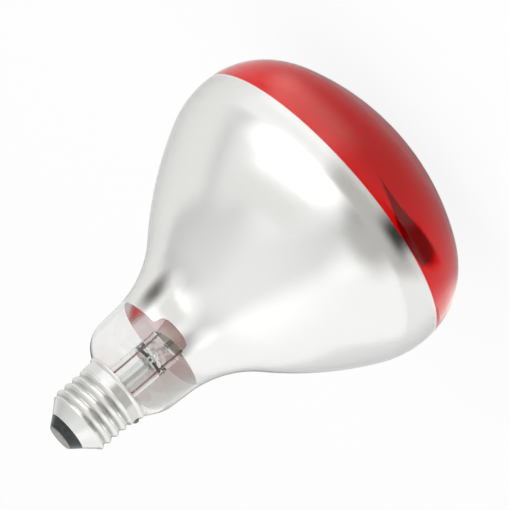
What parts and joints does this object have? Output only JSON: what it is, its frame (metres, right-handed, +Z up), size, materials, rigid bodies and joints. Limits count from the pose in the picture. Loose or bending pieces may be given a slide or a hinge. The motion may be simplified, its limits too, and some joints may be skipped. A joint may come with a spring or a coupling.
{
  "type": "infrared reflector lamp",
  "caption": "Infrared heat lamp: a pear-shaped glass bulb with a red face, a mirrored back, a clear neck and a screw cap on a slightly leaning seal.",
  "frame": {"origin": "middle of the face's outer surface, the bulb's lowest point", "axes": "+Z up the bulb's axis from the face to the screw cap; the picture is taken from the -Y side; the cap leans off the axis toward -X"},
  "size_m": [0.125, 0.125, 0.1668],
  "materials": {
    "clear_glass": "clear, polished",
    "red_film": "clear red, glossy",
    "mirror_film": "vacuum-deposited mirror",
    "stem_glass": "clear, fire-polished",
    "copper_lead": "copper, satin",
    "seal_wire": "copper-clad, dull red in the glass",
    "nickel": "nickel, satin",
    "tungsten": "drawn tungsten, dark grey",
    "hook_wire": "drawn molybdenum",
    "cap_metal": "rolled, satin",
    "black_glass": "black, glossy",
    "contact_metal": "tinned, dull",
    "solder": "tin-lead, dull",
    "cement": "baked resin cement"
  },
  "bodies": {
    "root": {"glass_envelope": "clear_glass", "red_coating": "red_film", "mirror_coating": "mirror_film", "stem_glass": "stem_glass", "exhaust_tube": "stem_glass", "support_rod": "stem_glass", "outer_lead_1": "copper_lead", "outer_lead_2": "copper_lead", "seal_wire_1": "seal_wire", "seal_wire_2": "seal_wire", "inner_lead_1": "nickel", "inner_lead_2": "nickel", "heat_shield": "nickel", "shield_wire_1": "nickel", "shield_wire_2": "nickel", "filament": "tungsten", "filament_hook_1": "hook_wire", "filament_hook_2": "hook_wire", "filament_hook_3": "hook_wire", "cap_shell": "cap_metal", "cap_insulator": "black_glass", "centre_contact": "contact_metal", "centre_solder": "solder", "side_solder": "solder", "basing_cement": "cement"}
  },
  "joints": []
}
